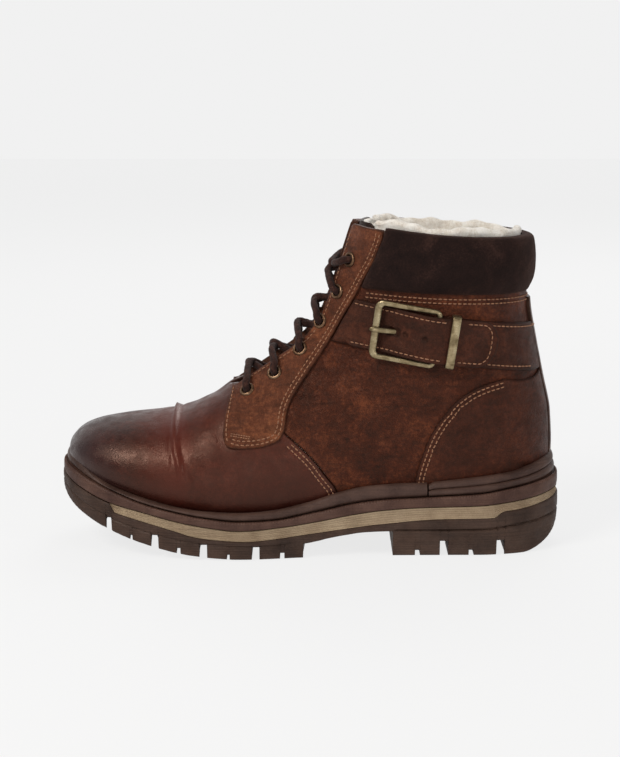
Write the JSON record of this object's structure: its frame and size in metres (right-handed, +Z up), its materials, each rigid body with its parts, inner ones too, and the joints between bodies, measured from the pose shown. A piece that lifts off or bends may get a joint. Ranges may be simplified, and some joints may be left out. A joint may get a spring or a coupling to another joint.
{
  "type": "lace-up ankle boot",
  "caption": "Left lace-up ankle boot with a fleece lining, padded collar, buckled ankle strap, inner-side zip and a lugged sole.",
  "frame": {"origin": "middle of the bounding box, on the ground the boot stands on", "axes": "+Z up, the toe points to -X, the outer side of the left foot faces -Y"},
  "size_m": [0.308, 0.1114, 0.2019],
  "materials": {
    "antique_brass": "antique",
    "backstay_leather": "waxed",
    "collar_foam": "soft foam",
    "collar_suede": "suede",
    "eyelet_brass": "antique",
    "eyestay_leather": "waxed pull-up",
    "fibre_board": "pressed fibre",
    "fleece": "deep pile",
    "lace_cord": "braided",
    "midsole_foam": "fine horizontal ribs, matt",
    "outsole_rubber": "moulded, matt",
    "rand_rubber": "smooth, satin",
    "shank_steel": "plain",
    "strap_leather": "waxed pull-up",
    "tongue_leather": "waxed",
    "upper_leather": "waxed pull-up, burnished at the toe",
    "wadding": "quilted wadding",
    "welt": "matt with a stitch groove",
    "zip_metal": "antique",
    "zip_tape": "woven"
  },
  "bodies": {
    "boot": {"outsole": "outsole_rubber", "midsole": "midsole_foam", "welt": "welt", "shank": "shank_steel", "rand_front": "rand_rubber", "rand_heel": "rand_rubber", "insole_board": "fibre_board", "footbed": "fleece", "vamp": "upper_leather", "quarter_lateral": "upper_leather", "quarter_medial": "upper_leather", "toe_puff": "fibre_board", "heel_counter": "fibre_board", "insulation_vamp": "wadding", "insulation_lateral": "wadding", "insulation_medial": "wadding", "eyestay_lateral": "eyestay_leather", "eyestay_medial": "eyestay_leather", "heel_panel_lateral": "upper_leather", "heel_panel_medial": "upper_leather", "backstay": "backstay_leather", "collar_cuff": "collar_suede", "collar_cuff_medial_front": "collar_suede", "collar_foam": "collar_foam", "collar_foam_medial_front": "collar_foam", "lining_vamp": "fleece", "lining_shaft": "fleece", "tongue": "tongue_leather", "tongue_lining": "fleece", "eyelet_lateral_1": "eyelet_brass", "eyelet_lateral_2": "eyelet_brass", "eyelet_lateral_3": "eyelet_brass", "eyelet_lateral_4": "eyelet_brass", "eyelet_lateral_5": "eyelet_brass", "eyelet_lateral_6": "eyelet_brass", "eyelet_medial_1": "eyelet_brass", "eyelet_medial_2": "eyelet_brass", "eyelet_medial_3": "eyelet_brass", "eyelet_medial_4": "eyelet_brass", "eyelet_medial_5": "eyelet_brass", "eyelet_medial_6": "eyelet_brass", "lace": "lace_cord", "strap_front": "strap_leather", "strap_rear": "strap_leather", "zip_tape_rear": "zip_tape", "zip_teeth_rear": "zip_metal", "zip_tape_front": "zip_tape", "zip_teeth_front": "zip_metal", "zip_top_stop_rear": "zip_metal", "zip_top_stop_front": "zip_metal", "zip_bottom_stop": "zip_metal"},
    "zip_slider": {"zip_slider": "zip_metal"},
    "zip_pull": {"zip_pull": "zip_metal"},
    "buckle_frame": {"buckle_frame": "antique_brass"},
    "buckle_prong": {"buckle_prong": "antique_brass"},
    "strap_keeper": {"strap_keeper": "antique_brass"}
  },
  "joints": [
    {"name": "zip_slide", "type": "slide", "parent": "boot", "child": "zip_slider", "axis": [-0.1615, -0.044, -0.9859], "range_m": [0, 0.104]},
    {"name": "zip_pull_swing", "type": "hinge", "parent": "zip_slider", "child": "zip_pull", "pos_m": [0.07577, 0.04526, 0.18251], "axis": [0.9868, 0, -0.1616], "range_deg": [0, 150]},
    {"name": "buckle_frame_swing", "type": "hinge", "parent": "boot", "child": "buckle_frame", "pos_m": [0.07483, -0.04497, 0.13238], "axis": [0.14, -0.0349, 0.9895], "range_deg": [0, 2]},
    {"name": "buckle_prong_swing", "type": "hinge", "parent": "boot", "child": "buckle_prong", "pos_m": [0.07483, -0.04497, 0.13238], "axis": [0.14, -0.0349, 0.9895], "range_deg": [0, 2]},
    {"name": "keeper_slide", "type": "slide", "parent": "boot", "child": "strap_keeper", "axis": [-0.9887, -0.0153, 0.1492], "range_m": [-0.001, 0.001]}
  ],
  "couplings": [
    {"joint": "buckle_prong_swing", "follows": "buckle_frame_swing", "ratio": 1}
  ]
}
